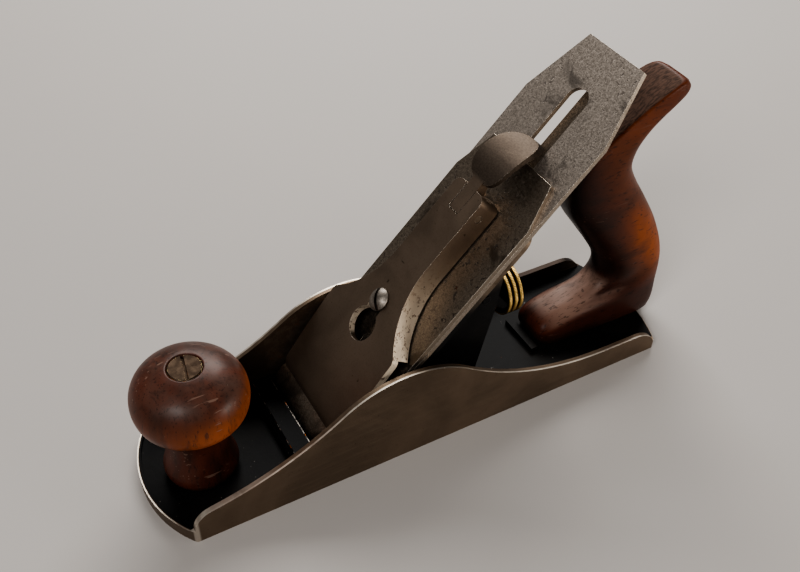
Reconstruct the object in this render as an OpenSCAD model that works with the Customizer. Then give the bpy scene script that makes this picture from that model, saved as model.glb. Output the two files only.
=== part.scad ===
// Bench hand plane of the cast-iron smoothing pattern, with a screw-adjusted
// double iron, a lever cap with a cam and rosewood handles.
// The toe points to -X, the heel to +X, and the sole lies on Z = 0.
// Everything that lies on the 45 degree bed is drawn in the bed frame:
// X runs up the bed, Y across it and Z stands square on its face.

/* [Body] */
// Length of the sole from the toe's tip to the heel's tip
body_length = 234.5; // [228:0.5:246]
// Width of the sole over both cheeks
body_width = 60.3; // [54:0.1:70]
// Thickness of the sole plate
sole_t = 4.5; // [3:0.1:7]
// Height of the cheeks at their hump
cheek_height = 45.4; // [35:0.1:55]
// Thickness of each cheek
cheek_t = 2.4; // [2:0.1:4]
// How far the toe bulges in front of its corners
toe_bulge = 10.5; // [5:0.5:14]
// How far the heel bulges behind its corners
heel_bulge = 6; // [2:0.5:10]
// Radius of the sole's corners
sole_corner_r = 1.8; // [1:0.1:3]
// Height of the chip rib in front of the mouth
rib_height = 10; // [6:0.5:14]

/* [Bed] */
// Where the bed's face would meet the sole plane
bed_x = -55; // [-60:0.5:-50]
// Angle of the bed
bed_angle = 45; // [43:1:50]
// Length of the frog's face from the sole plane to its top
frog_top = 128; // [115:0.5:130]
// Half of the frog's width
frog_half = 23.5; // [20:0.5:26]
// Thickness of the frog's face plate
frog_plate = 4.8; // [4:0.1:9]
// Travel of the frog away from the mouth
frog_travel = 2; // [0:0.5:3]

/* [Irons] */
// Width of the cutting iron
iron_width = 50.8; // [44:0.1:60]
// Thickness of the cutting iron
iron_t = 2; // [1.6:0.1:3]
// Distance up the bed of the cutting iron's top edge
iron_top = 197.9; // [180:0.1:205]
// Distance up the bed where the iron's shoulders begin
iron_shoulder = 168; // [150:1:185]
// Width of the iron's top edge
iron_top_width = 32.5; // [25:0.5:50]
// Width of the iron's slot
slot_width = 11; // [10:0.1:12]
// Distance up the bed of the cap iron's top edge
cap_iron_top = 145.5; // [125:0.5:155]
// Thickness of the cap iron
cap_iron_t = 2.2; // [1.8:0.1:3]

/* [Lever cap] */
// Distance up the bed of the lever cap's lip
lip_u = 16; // [14:0.5:18]
// Distance up the bed of the lever cap's top end
cap_top = 126; // [118:0.5:130]
// Half of the lever cap's width at the lip
cap_half = 25; // [20:0.5:27]
// Half of the width of its neck
neck_half = 9.2; // [8:0.1:14]
// Height of the neck's upper face over the bed
neck_w = 16; // [13:0.1:18]
// Travel of the cap from the locked screw to its keyhole
keyhole_travel = 12; // [10:0.5:15]

/* [Handles] */
// Where the knob's axis stands
knob_x = -97; // [-100:0.1:-85]
// Height of the knob's top
knob_top = 61.6; // [61:0.1:63]
// Radius of the knob's ball
knob_r = 22.5; // [21.5:0.1:23.5]
// Thickness of the tote
tote_width = 24; // [20:0.5:27]

/* [Adjusters] */
// Radius of the brass depth nut
nut_r = 12; // [9:0.5:16]
// Height of the depth nut's axis
nut_z = 42; // [36:0.5:50]
// Pitch of the depth nut's left-hand thread
nut_pitch = 1; // [0.8:0.05:1.3]
// Distance from the lateral lever's pivot to its roller
roller_arm = 13; // [10:0.5:16]

/* [Hidden] */
$fn = 48;
fit = 0.06;          // radial clearance of turning and sliding fits
gap = 0.1;           // gap between faces that slide on each other
half_w = body_width / 2;
inner_w = half_w - cheek_t;
toe_tip = -121.5;
heel_tip = toe_tip + body_length;
toe_corner = toe_tip + toe_bulge;
heel_corner = heel_tip - heel_bulge;
toe_r = (half_w * half_w + toe_bulge * toe_bulge) / (2 * toe_bulge);
heel_r = (half_w * half_w + heel_bulge * heel_bulge) / (2 * heel_bulge);
seat_z = 6;          // top of the frog's seat on the sole
frog_z = seat_z + gap;
// Cheek outline: a hump between two long valley curves
hump_x = -20.9;
hump_r = 47;
front_angle = 34.7;
front_r = 134;
rear_angle = 37.1;
rear_r = 121;
heel_cheek_z = 11.2;
// Mouth
mouth_front = -59.3;
mouth_lean = 3.2;
// Places up the bed
iron_edge_u = -1.6;
iron_w = gap;                      // underside of the cutting iron
cap_iron_w = iron_w + iron_t;      // underside of the cap iron
cap_iron_top_w = cap_iron_w + cap_iron_t;
hump_w = 7.3;                      // top of the cap iron's hump
iron_hole_u = 35;
iron_screw_u = 50;
lever_screw_u = 69;
finger_u = 91;
roller_u = 105;
lateral_u = roller_u + roller_arm;
keyhole_u = lever_screw_u - keyhole_travel;
// Frog fastenings
frog_screw_x = -28;
frog_screw_y = 13;
frog_screw_seat = 14;
adjust_z = 11.5;
frog_rear = 18;
// Depth adjuster
pivot_x = 22;
pivot_z = 56;
groove_x = 35.5;
// Cam
cam_u = 118.3;
cam_w = 11.5;
cam_hub_r = 5.64;
notch_half = 3.15;
notch_u = 114.4;
pad_u = 135.7;
pad_w = -4.6;
pad_r = 21.2;
pad_t = 2.2;
pad_plan_u = 141.6;
// Tote rod, leaning towards the toe
rod_foot = [107.5, 0, 2];
rod_lean = 15;
rod_length = 102;
handle_nut_r = 6.5;
tote_z = sole_t + 0.55;

function arc(x, y, r, a0, a1, n = 12) =
    [for (i = [0:n]) [x + r * cos(a0 + (a1 - a0) * i / n),
                      y + r * sin(a0 + (a1 - a0) * i / n)]];
// Point of a Catmull-Rom curve between points b and c
function curve_point(a, b, c, d, t) =
    0.5 * (2 * b + (c - a) * t + (2 * a - 5 * b + 4 * c - d) * t * t
           + (3 * b - a - 3 * c + d) * t * t * t);
// Open smooth curve through the inner points of p
function curve(p, n = 4) =
    [for (i = [1:len(p) - 3], k = [0:n - 1])
        curve_point(p[i - 1], p[i], p[i + 1], p[i + 2], k / n)];

// Places its children in the bed frame
module on_bed() translate([bed_x, 0, 0]) rotate([0, -bed_angle, 0]) children();
// Extrudes an X-Z outline across Y, centred on y
module across(width, y = 0) translate([0, y + width / 2, 0]) rotate([90, 0, 0])
    linear_extrude(width) children();
module rod_x(x0, x1, r, z, y = 0) translate([x0, y, z]) rotate([0, 90, 0])
    cylinder(r = r, h = x1 - x0);
module rod_y(x, z, r, half) translate([x, half, z]) rotate([90, 0, 0])
    cylinder(r = r, h = 2 * half);
// Straight slot with round ends between x0 and x1
module slot(x0, x1, r, h) {
    for (x = [x0, x1]) translate([x, 0, 0]) cylinder(r = r, h = h);
    translate([x0, -r, 0]) cube([x1 - x0, 2 * r, h]);
}

// ---- cast body ----
// End of the sole, an arc of radius r whose sides turn small corners; way is -1 at the toe
function sole_end(r, centre_x, way) = let (
    side = half_w - sole_corner_r,
    turn = asin(side / (r - sole_corner_r)),
    half = concat(arc(0, 0, r, 0, turn, 12),
        arc((r - sole_corner_r) * cos(turn), side, sole_corner_r, turn + 12, 90, 5)))
    [for (i = [1 - len(half):len(half) - 1])
        [centre_x + way * half[abs(i)][0], way * sign(i) * half[abs(i)][1]]];

module sole_plan() polygon(concat(
    sole_end(toe_r, toe_tip + toe_r, -1), sole_end(heel_r, heel_tip - heel_r, 1)));

module cheek_outline() {
    hump_z = cheek_height - hump_r;
    fx = hump_x - (hump_r + front_r) * sin(front_angle);
    fz = hump_z + (hump_r + front_r) * cos(front_angle);
    rx = hump_x + (hump_r + rear_r) * sin(rear_angle);
    rz = hump_z + (hump_r + rear_r) * cos(rear_angle);
    front_turn = asin((toe_corner + 7.6 - fx) / front_r);
    polygon(concat(
        [[heel_corner + 3, 0], [toe_corner - 3, 0], [toe_corner - 3, sole_t + 1]],
        arc(toe_corner + 8.6, sole_t + 1.7, 8.6, 180, 100, 8),
        arc(fx, fz, front_r, front_turn - 90, front_angle - 90, 16),
        arc(hump_x, hump_z, hump_r, 90 + front_angle, 90 - rear_angle, 24),
        arc(rx, rz, rear_r, 270 - rear_angle, 270, 16),
        arc(heel_corner - 11, heel_cheek_z - 12, 12, 90, 12, 8),
        [[heel_corner + 3, 1]]));
}

module plane_body() color([0.16, 0.15, 0.14]) difference() {
    union() {
        linear_extrude(sole_t) sole_plan();
        // Cheeks, ground flush with the ends of the sole
        intersection() {
            linear_extrude(cheek_height + 1) sole_plan();
            for (y = [-1, 1]) across(cheek_t + 1, y * (half_w - cheek_t / 2 + 0.5)) cheek_outline();
        }
        // Raised lip round the toe
        linear_extrude(sole_t + 1) difference() {
            intersection() {
                sole_plan();
                translate([toe_tip, -half_w]) square([toe_bulge + 4, body_width]);
            }
            translate([1.6, 0]) sole_plan();
        }
        // Chip rib across the bed in front of the mouth
        across(2 * inner_w + 1) polygon([
            [mouth_front - 7, 1], [mouth_front + 2.5, 1],
            [mouth_front + mouth_lean, rib_height],
            [mouth_front - 4.5, rib_height], [mouth_front - 6.6, rib_height - 2]]);
        // Seat and side strips that carry the frog
        translate([-50.5, -frog_half - 0.5, 1])
            cube([frog_rear + 52.5, 2 * frog_half + 1, seat_z - 1]);
        // Boss of the frog's adjusting screw
        translate([-14, -6.5, 1]) cube([20, 13, adjust_z + 4]);
        // Bosses under the knob and the tote
        translate([knob_x, 0, 1]) cylinder(r = 12, h = sole_t);
        translate([62, -10.5, 1]) cube([46, 21, sole_t - 0.5]);
        translate([53.5, -10.5, 1]) cube([3.5, 21, sole_t + 1.5]);
    }
    // Mouth, its rear wall parallel to the bed
    across(2 * inner_w) polygon([
        [mouth_front - 0.2, -1], [mouth_front + mouth_lean, rib_height + 0.01],
        [bed_x + 2.5 + rib_height, rib_height + 0.01], [bed_x + 1.5, -1]]);
    translate([knob_x, 0, -1]) cylinder(r = 2.9, h = 12);
    translate(rod_foot) rotate([0, -rod_lean, 0]) translate([0, 0, -1]) cylinder(r = 2.9, h = 12);
    for (y = [-1, 1]) translate([frog_screw_x, y * frog_screw_y, 1]) cylinder(r = 2.6, h = 9);
    rod_x(-15, 7, 2.5 + fit, adjust_z);
}

// ---- frog and what is screwed to it ----
module frog_web_outline() polygon([
    [-47, frog_z], [frog_rear, frog_z], [frog_rear, 14], [27, 50], [29.5, 66], [28.8, 75.4],
    [bed_x + (frog_z + 3) + 3, frog_z + 3]]);

module frog() color([0.1, 0.1, 0.1]) difference() {
    union() {
        // Face plate with rounded top corners, thick low down
        on_bed() translate([0, 0, -frog_plate]) linear_extrude(frog_plate) polygon(concat(
            [[3, -frog_half]],
            arc(frog_top - 7, 7 - frog_half, 7, -90, 0, 6),
            arc(frog_top - 7, frog_half - 7, 7, 0, 90, 6),
            [[3, frog_half]]));
        on_bed() translate([3, -15, -10]) cube([63, 30, 9]);
        for (y = [-1, 1]) across(5, y * 14.5) frog_web_outline();
        // Foot on the seat, with its side strips
        across(2 * frog_half - 2) polygon([
            [bed_x + frog_z + 0.2, frog_z], [frog_rear - 8, frog_z], [frog_rear - 8, 11],
            [-30, 15], [bed_x + 17, 16.5]]);
        across(34) polygon([
            [bed_x + frog_z + 0.2, frog_z], [-22, frog_z], [-22, 26], [bed_x + 29, 28.5]]);
        // Cross wall with the boss of the depth stud
        translate([8, -14, frog_z]) cube([5, 28, 45 - frog_z]);
        rod_x(8, 22, 6, nut_z);
        translate([12, -14, 17]) cube([frog_rear - 12, 28, 10]);
        // Boss of the lever cap screw
        on_bed() translate([lever_screw_u, 0, -15]) cylinder(r = 7, h = 11);
    }
    translate([-80, -40, frog_z - 40]) cube([200, 80, 40]);
    // Channel over the body's adjusting boss
    translate([-22, -7.2, 0]) cube([60, 14.4, adjust_z + 6]);
    // Wells of the hold-down screws, long enough for the frog's travel
    for (y = [-1, 1]) translate([frog_screw_x, y * frog_screw_y, 0]) {
        translate([0, 0, frog_screw_seat]) slot(-frog_travel - 0.2, 0, 6, 40);
        slot(-frog_travel - 0.2, 0, 2.9, 30);
    }
    rod_x(0, 23, 3 + fit, nut_z);
    rod_y(pivot_x, pivot_z, 2.02, 30);
    rod_x(10, 20, 1.42, 22.5);
    on_bed() {
        // Clearance for the head of the cap iron's screw
        translate([iron_screw_u - 9.5, 0, -5]) slot(2, 13, 9, 10);
        translate([lever_screw_u, 0, -20]) cylinder(r = 3.62, h = 30);
        // Window of the depth finger
        translate([finger_u - 4.4, -3.8, -20]) cube([10.8, 7.6, 30]);
        // Recess of the lateral lever, open at the top
        translate([roller_u - 6.8, -9, -2]) cube([60, 18, 10]);
        translate([lateral_u, 0, -20]) cylinder(r = 2.42, h = 30);
    }
}

module frog_screws() color([0.45, 0.42, 0.38])
    for (y = [-1, 1]) translate([frog_screw_x, y * frog_screw_y, 0]) difference() {
        union() {
            translate([0, 0, 2]) cylinder(r = 2.55, h = 14);
            translate([0, 0, frog_screw_seat + 1.35]) cylinder(r = 4.6, h = 3);
        }
        translate([-6, -0.5, frog_screw_seat + 3.1]) cube([12, 1, 3]);
    }

module frog_washers() color([0.4, 0.38, 0.35])
    for (y = [-1, 1]) translate([frog_screw_x, y * frog_screw_y, frog_screw_seat + gap])
        difference() {
            cylinder(r = 5.5, h = 1.2);
            translate([0, 0, -1]) cylinder(r = 2.75, h = 4);
        }

module frog_adjust_screw() color([0.5, 0.47, 0.42]) difference() {
    union() {
        rod_x(-10, 17.4, 2.5, adjust_z);
        rod_x(17.3, 20.4, 1.8, adjust_z);
        rod_x(20.3, 24, 4.2, adjust_z);
    }
    translate([22.8, -5, adjust_z - 0.5]) cube([3, 10, 1]);
}

module frog_adjust_plate() color([0.35, 0.33, 0.3]) difference() {
    translate([frog_rear, -9, 7.2]) cube([1.6, 18, 20]);
    translate([frog_rear - 1, -1.8 - gap, 6]) cube([4, 3.6 + 2 * gap, adjust_z - 6]);
    rod_x(frog_rear - 1, frog_rear + 3, 1.8 + gap, adjust_z);
    rod_x(frog_rear - 1, frog_rear + 3, 1.5, 22.5);
}

module frog_plate_screw() color([0.5, 0.47, 0.42]) difference() {
    union() {
        rod_x(12, frog_rear + 1.7, 1.4, 22.5);
        rod_x(frog_rear + 1.6, frog_rear + 3.6, 3, 22.5);
    }
    translate([frog_rear + 2.6, -4, 22.1]) cube([3, 8, 0.8]);
}

// ---- depth adjuster ----
module y_lever() color([0.14, 0.13, 0.13]) difference() {
    union() {
        rod_y(pivot_x, pivot_z, 4.4, 11.3);
        on_bed() translate([finger_u - 2.1, -3, -14]) cube([4.2, 6, 18.9]);
        for (y = [-1, 1]) {
            across(2, y * 10.3) polygon(concat(
                arc(groove_x, nut_z, 1.4, -110, 30, 6),
                arc(pivot_x, pivot_z, 4.2, 40, 220, 8)));
            translate([groove_x, y * 8.4, nut_z]) rotate([90, 0, 0])
                cylinder(r = 1.65, h = 3.8, center = true);
        }
    }
    rod_y(pivot_x, pivot_z, 2 + fit, 20);
}

module y_lever_pin() color([0.5, 0.48, 0.45]) rod_y(pivot_x, pivot_z, 2, 17.4);

module depth_stud() color([0.5, 0.47, 0.42]) rod_x(11, 46.3, 3, nut_z);

module depth_nut() color([0.72, 0.53, 0.22]) difference() {
    union() {
        rod_x(31.5, 33.5, 9, nut_z);
        rod_x(33.4, 37.6, 6, nut_z);
        rod_x(37.5, 44.5, nut_r - 1.3, nut_z);
        for (x = [37.5, 40.25, 43]) rod_x(x, x + 1.5, nut_r, nut_z);
    }
    rod_x(30, 48, 3 + fit, nut_z);
}

// ---- lateral adjuster ----
module lateral_lever() color([0.42, 0.39, 0.35]) on_bed() {
    difference() {
        union() {
            translate([0, 0, -1.8]) linear_extrude(1.6) union() {
                translate([roller_u, 0]) circle(r = 6);
                translate([lateral_u, 0]) circle(r = 5.5);
                translate([roller_u, -4]) square([frog_top + 2.8 - roller_u, 8]);
            }
            // Step down behind the frog, then the long strip
            across(8) polygon([
                [frog_top + 1.5, -0.2], [frog_top + 1.5, -1.8], [frog_top + 3.6, -5.1],
                [frog_top + 8, -5.1], [frog_top + 8, -3.5], [frog_top + 4.8, -3.5],
                [frog_top + 2.7, -0.2]]);
            translate([frog_top + 7, -4, -5.1]) cube([180 - frog_top, 8, 1.6]);
            // Thumb tab, bent square to the strip
            across(13) polygon(concat(
                arc(185.5, -8.1, 4.6, 90, 0, 6), [[190.1, -14]],
                [[188.5, -14]], arc(185.5, -8.1, 3, 0, 90, 6)));
            translate([roller_u, 0, -0.3]) cylinder(r = 1.8, h = 2.3);
        }
        translate([lateral_u, 0, -4]) cylinder(r = 2.4 + fit, h = 6);
    }
}

module lateral_rivet() color([0.5, 0.48, 0.45])
    on_bed() translate([lateral_u, 0, -7.4]) cylinder(r = 2.4, h = 7.2);

module lateral_roller() color([0.5, 0.48, 0.44])
    on_bed() translate([roller_u, 0, -0.1]) difference() {
        cylinder(r = slot_width / 2 - 0.2, h = 2);
        translate([0, 0, -1]) cylinder(r = 1.8 + fit, h = 4);
    }

// ---- irons ----
module cutting_iron() color([0.5, 0.48, 0.45]) on_bed() difference() {
    translate([0, 0, iron_w]) intersection() {
        linear_extrude(iron_t) polygon([
            [iron_edge_u, -iron_width / 2], [iron_shoulder, -iron_width / 2],
            [iron_top, -iron_top_width / 2], [iron_top, iron_top_width / 2],
            [iron_shoulder, iron_width / 2], [iron_edge_u, iron_width / 2]]);
        // Ground bevel on the side that faces the bed
        across(iron_width + 2) polygon([
            [iron_edge_u, iron_t], [iron_edge_u + 0.1, iron_t - 0.05],
            [iron_edge_u + 4.2, 0], [iron_top + 1, 0], [iron_top + 1, iron_t]]);
    }
    translate([iron_hole_u, 0, -1]) cylinder(r = 10, h = 6);
    translate([0, 0, -1]) slot(iron_hole_u, iron_top - 17.5 - slot_width / 2, slot_width / 2, 6);
}

// Side outline of the cap iron: a flat plate that humps and comes down to its edge
module cap_iron_outline() {
    low = cap_iron_w;
    polygon(concat(
        [[cap_iron_top, low], [cap_iron_top, cap_iron_top_w]],
        curve([[40, cap_iron_top_w], [30, cap_iron_top_w], [21, cap_iron_top_w + 1.2],
               [12.5, hump_w], [5, hump_w - 1.6], [0.2, low + 0.5], [-1, low - 1]], 4),
        [[-0.3, low + 0.1], [-0.2, low]],
        [[0.9, low]],
        curve([[-3, low - 1], [2.4, low + 1.2], [6.5, low + 2.6], [12.5, low + 3],
               [20, low + 1.3], [28, low], [40, low]], 4)));
}

module cap_iron() color([0.36, 0.33, 0.3]) on_bed() difference() {
    intersection() {
        across(iron_width) cap_iron_outline();
        linear_extrude(20) polygon([
            [-5, -iron_width / 2], [127, -iron_width / 2], [cap_iron_top, -19.5],
            [cap_iron_top, 19.5], [127, iron_width / 2], [-5, iron_width / 2]]);
    }
    translate([iron_screw_u, 0, -1]) cylinder(r = 3.9 + fit, h = 10);
    translate([lever_screw_u, 0, 0]) slot(-2.6, 0.6, 4.7, 10);
    translate([finger_u - 2.6, -5.2, 0]) cube([5.2, 10.4, 10]);
}

module cap_iron_screw() color([0.48, 0.45, 0.41])
    on_bed() translate([iron_screw_u, 0, 0]) difference() {
        union() {
            translate([0, 0, -3.3]) cylinder(r = 7.5, h = 3.3);
            translate([0, 0, -0.1]) cylinder(r = 3.9, h = cap_iron_top_w);
        }
        translate([-9, -0.7, -4]) cube([18, 1.4, 2]);
    }

// ---- lever cap and cam ----
shoulder_u = 58;
flare_r = 42;
flare_u = 90;
module cap_plan(inset = 0) {
    r = flare_r + inset;
    turn = acos((neck_half + flare_r - cap_half + 0.6) / flare_r);
    side = arc(flare_u, neck_half + flare_r, r, -90, -90 - turn, 12);
    half = concat(
        arc(cap_top - 3.5, neck_half - 3.5, 3.5 - inset, 0, 90, 5), side,
        [[shoulder_u - 2, cap_half - inset], [lip_u + 2, cap_half - inset],
         [lip_u, cap_half - 2 - inset]]);
    polygon(concat(half, [for (i = [len(half) - 1:-1:0]) [half[i][0], -half[i][1]]]));
}

// Upper face of the lever cap from the lip to the neck, lowered by d
function cap_crown(d) = curve([
    [lip_u - 5, 5.8 - d], [lip_u, 8.5 - d], [lip_u + 4.5, 9.7 - d], [27, 10.7 - d], [39, 12.4 - d],
    [shoulder_u, 14.2 - d], [flare_u, neck_w - d], [cap_top + 2, neck_w - d],
    [cap_top + 20, neck_w - d]], 5);

module lever_cap() color([0.3, 0.27, 0.23]) on_bed() difference() {
    union() {
        // Shell plate
        intersection() {
            linear_extrude(30) cap_plan();
            across(60) polygon(concat(
                cap_crown(0), [[cap_top + 1, neck_w], [cap_top + 1, neck_w - 3.4]],
                [[flare_u, neck_w - 3.4], [shoulder_u, 11], [39, 9.4], [26, 8.1],
                 [lip_u + 3, 7.5], [lip_u, 7.5]]));
        }
        // Side walls behind the slanting end of the flange
        intersection() {
            linear_extrude(30) difference() {
                cap_plan();
                cap_plan(2.6);
            }
            across(60) polygon([
                [shoulder_u, 12.5], [shoulder_u + 0.8, 5.1], [cap_top - 1, 5.1],
                [cap_top + 0.6, 7], [cap_top + 0.6, neck_w - 2], [cap_top, neck_w - 0.2],
                [flare_u, neck_w - 0.2], [shoulder_u, 13.6]]);
        }
        // Lugs that hold the cam's pin
        for (y = [-1, 1]) across(4, y * (notch_half + 2)) polygon(concat(
            [[notch_u - 6, neck_w - 0.2], [notch_u - 6, neck_w - 3.4], [notch_u - 1, 6]],
            arc(cap_top - 5, 11, 5, -80, 80, 8)));
    }
    // End of the cap between and past the lugs, hollowed round the cam's hub
    translate([notch_u + 0.6, -notch_half, 0]) cube([40, 2 * notch_half, 40]);
    rod_y(cam_u, cam_w, cam_hub_r + 0.25, notch_half);
    translate([cap_top, -20, 0]) cube([40, 40, 40]);
    rod_y(cam_u, cam_w, 1.62, 30);
    // Keyhole
    translate([keyhole_u, 0, 0]) cylinder(r = 7.2, h = 40);
    translate([keyhole_u, 0, 0]) slot(0, keyhole_travel, 3.9, 40);
    // Blind hole of the spring's rivet
    translate([97, 0, 0]) cylinder(r = 1.52, h = neck_w - 1.4);
}

module lever_cap_screw() color([0.6, 0.58, 0.54])
    on_bed() translate([lever_screw_u, 0, 0]) difference() {
        union() {
            translate([0, 0, -14.5]) cylinder(r = 3.6, h = 30.3);
            translate([0, 0, 15.45]) cylinder(r = 4.7, h = 0.5);
            translate([0, 0, 15.9]) intersection() {
                translate([0, 0, -4.5]) sphere(r = 6.5);
                cylinder(r = 4.7, h = 8);
            }
        }
        rotate(45) translate([-7, -0.6, 16.4]) cube([14, 1.2, 5]);
    }

module lever_cap_spring() color([0.4, 0.4, 0.42]) on_bed() difference() {
    across(9) polygon([
        [92, 12.5], [101, 12.5], [109.5, 5.9], [113, 5.15], [121.2, 5.15], [122.6, 5.6],
        [122.9, 5], [121.4, 4.45], [112.8, 4.45], [109.1, 5.2], [100.8, 11.8], [92, 11.8]]);
    translate([97, 0, 5]) cylinder(r = 1.52, h = 10);
}

module spring_rivet() color([0.45, 0.43, 0.4]) on_bed() translate([97, 0, 10.8]) {
    cylinder(r = 2.4, h = 1);
    cylinder(r = 1.5, h = 3.6);
}

// Rounded plan of the thumb pad, between an ellipse and an oblong
module pad_plan() polygon([for (i = [0:47]) let (c = cos(7.5 * i), s = sin(7.5 * i))
    [pad_plan_u + 12.5 * sign(c) * pow(abs(c), 0.76), 9.6 * sign(s) * pow(abs(s), 0.76)]]);

module cam_lever() color([0.34, 0.3, 0.26]) on_bed() difference() {
    union() {
        across(2 * notch_half - 0.4) intersection() {
            union() {
                translate([cam_u, cam_w]) circle(r = cam_hub_r);
                // Lobe that bears on the spring
                translate([cam_u + 1.2, cam_w - 2.1]) circle(r = 4);
                polygon([[cam_u, cam_w], [cam_u, neck_w + 1], [pad_u - 2, neck_w + 1],
                         [pad_u - 3, neck_w - 2.4], [cam_u + 5.2, cam_w - 2]]);
            }
            // Flush with the top of the cap
            translate([100, 0]) square([60, neck_w]);
        }
        // Thumb pad, bowed down towards its tip
        intersection() {
            across(40) polygon(concat(
                arc(pad_u, pad_w, pad_r, 108, 20, 18), arc(pad_u, pad_w, pad_r - pad_t, 20, 108, 18)));
            translate([0, 0, cap_iron_w + 0.4]) linear_extrude(40) pad_plan();
        }
    }
    rod_y(cam_u, cam_w, 1.6 + fit, 20);
}

module cam_pin() color([0.5, 0.48, 0.45]) on_bed() rod_y(cam_u, cam_w, 1.6, 9);

// ---- handles ----
module tote_outline() polygon(curve([
    [121, 3], [121.5, 5], [122.8, 14], [123.2, 27], [121.8, 40], [117, 54], [109.5, 67],
    [101, 81], [96.6, 90], [97.2, 98], [102.5, 106.5], [111, 113.5], [118.5, 118.5],
    [119.5, 122], [115.5, 125.8], [108, 125.2], [95, 117.5], [81, 109.2], [70.5, 102],
    [66, 92], [67, 78], [73.5, 65.5], [82.5, 52.5], [91, 38.5], [92.2, 29.5], [86, 23],
    [75, 20], [65, 18.6], [58.8, 15.5], [57.5, 9.5], [59.5, 5.1], [75, 5.05], [100, 5.05],
    [119, 5.05], [121.5, 5], [122.8, 14]], 3));

module tote() color([0.3, 0.13, 0.07]) difference() {
    intersection() {
        across(tote_width) tote_outline();
        translate([40, 0, 0]) rotate([90, 0, 90]) linear_extrude(100) polygon([
            [-tote_width / 2, tote_z], [tote_width / 2, tote_z], [tote_width / 2, 88],
            [9.2, 128], [-9.2, 128], [-tote_width / 2, 88]]);
    }
    translate(rod_foot) rotate([0, -rod_lean, 0]) {
        translate([0, 0, -5]) cylinder(r = 3.1, h = 130);
        translate([0, 0, rod_length + 0.2]) cylinder(r = handle_nut_r + 0.25, h = 30);
    }
}

module tote_rod() color([0.45, 0.42, 0.38])
    translate(rod_foot) rotate([0, -rod_lean, 0]) cylinder(r = 2.85, h = rod_length - 1);

module brass_nut(r, h) difference() {
    union() {
        translate([0, 0, -9]) cylinder(r = 2.95, h = 9.1);
        cylinder(r = r, h = h - 0.4);
        translate([0, 0, h - 0.41]) cylinder(r1 = r, r2 = r - 0.4, h = 0.4);
    }
    translate([-r - 1, -0.6, h - 1.5]) cube([2 * r + 2, 1.2, 3]);
    translate([0, 0, -10]) cylinder(r = 2.87, h = 9);
}

module tote_nut() color([0.55, 0.45, 0.27])
    translate(rod_foot) rotate([0, -rod_lean, 0]) translate([0, 0, rod_length + 0.3])
        brass_nut(handle_nut_r, 4);

module knob_half() polygon(concat(
    [[0, 5.55], [13.3, 5.55]],
    arc(11.8, 9, 3, -60, 30, 5),
    curve([[14.6, 10.9], [13.8, 13.8], [12.6, 18.5], [12.2, 23], [12.4, 28], [13.4, 32.4],
           [15.8, 35.8], [18.9, 37.6], [knob_r - 1.3, 39.9], [knob_r - 0.3, 43],
           [knob_r, 46.3], [knob_r - 0.6, 50.2], [knob_r - 2.4, 54], [knob_r - 5.3, 57.2],
           [knob_r - 9.3, 59.6], [9.6, 60.8], [7.2, knob_top - 0.3], [4, knob_top]], 3),
    [[7.2, knob_top - 0.3], [0, knob_top - 0.3]]));

module knob() color([0.3, 0.12, 0.07]) translate([knob_x, 0, 0]) difference() {
    rotate_extrude() knob_half();
    cylinder(r = 3.1, h = 80);
    translate([0, 0, knob_top - 4]) cylinder(r = handle_nut_r + 0.25, h = 20);
}

module knob_rod() color([0.45, 0.42, 0.38])
    translate([knob_x, 0, 1]) cylinder(r = 2.85, h = knob_top - 6);

module knob_nut() color([0.55, 0.45, 0.27])
    translate([knob_x, 0, knob_top - 3.9]) rotate(80) brass_nut(handle_nut_r, 3.6);

plane_body();
frog();
frog_screws();
frog_washers();
frog_adjust_screw();
frog_adjust_plate();
frog_plate_screw();
y_lever();
y_lever_pin();
depth_stud();
depth_nut();
lateral_lever();
lateral_rivet();
lateral_roller();
cutting_iron();
cap_iron();
cap_iron_screw();
lever_cap();
lever_cap_screw();
lever_cap_spring();
spring_rivet();
cam_lever();
cam_pin();
tote();
tote_rod();
tote_nut();
knob();
knob_rod();
knob_nut();
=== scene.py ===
"""Looks of the old bench hand plane: finishes, turned knob, shaped tote, light and camera.

Lengths are metres in the frame of the CAD part. The toe points to -X, the heel to +X, +Z is up.
Object coordinates equal frame coordinates for every piece, so a material can tell the inside of
the casting from its cheeks by place, and it stays on the piece when a joint moves.
"""
import math

import bmesh
import bpy
from mathutils import Matrix, Quaternion, Vector


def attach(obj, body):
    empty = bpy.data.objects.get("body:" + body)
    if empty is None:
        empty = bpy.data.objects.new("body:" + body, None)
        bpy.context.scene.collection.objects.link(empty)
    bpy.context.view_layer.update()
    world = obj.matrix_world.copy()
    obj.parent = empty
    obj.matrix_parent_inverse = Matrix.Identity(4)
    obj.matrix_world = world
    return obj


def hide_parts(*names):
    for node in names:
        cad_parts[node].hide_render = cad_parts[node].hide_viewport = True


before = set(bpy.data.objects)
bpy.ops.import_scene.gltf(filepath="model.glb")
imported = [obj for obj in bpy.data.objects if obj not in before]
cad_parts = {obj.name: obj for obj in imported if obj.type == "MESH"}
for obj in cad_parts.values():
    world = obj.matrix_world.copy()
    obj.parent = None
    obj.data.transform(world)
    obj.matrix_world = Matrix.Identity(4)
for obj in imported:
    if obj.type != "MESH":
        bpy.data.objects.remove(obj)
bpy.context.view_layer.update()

MM = 0.001

# Camera, as solved for the view of the plane from its toe and near side
CAMERA_AT = Vector((-0.1543, -0.2614, 0.3364))
CAMERA_AIM = Vector((-0.0079, 0.0, 0.0628))
CAMERA_ROLL = 0.757
CAMERA_LENS = 46.53

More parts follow.
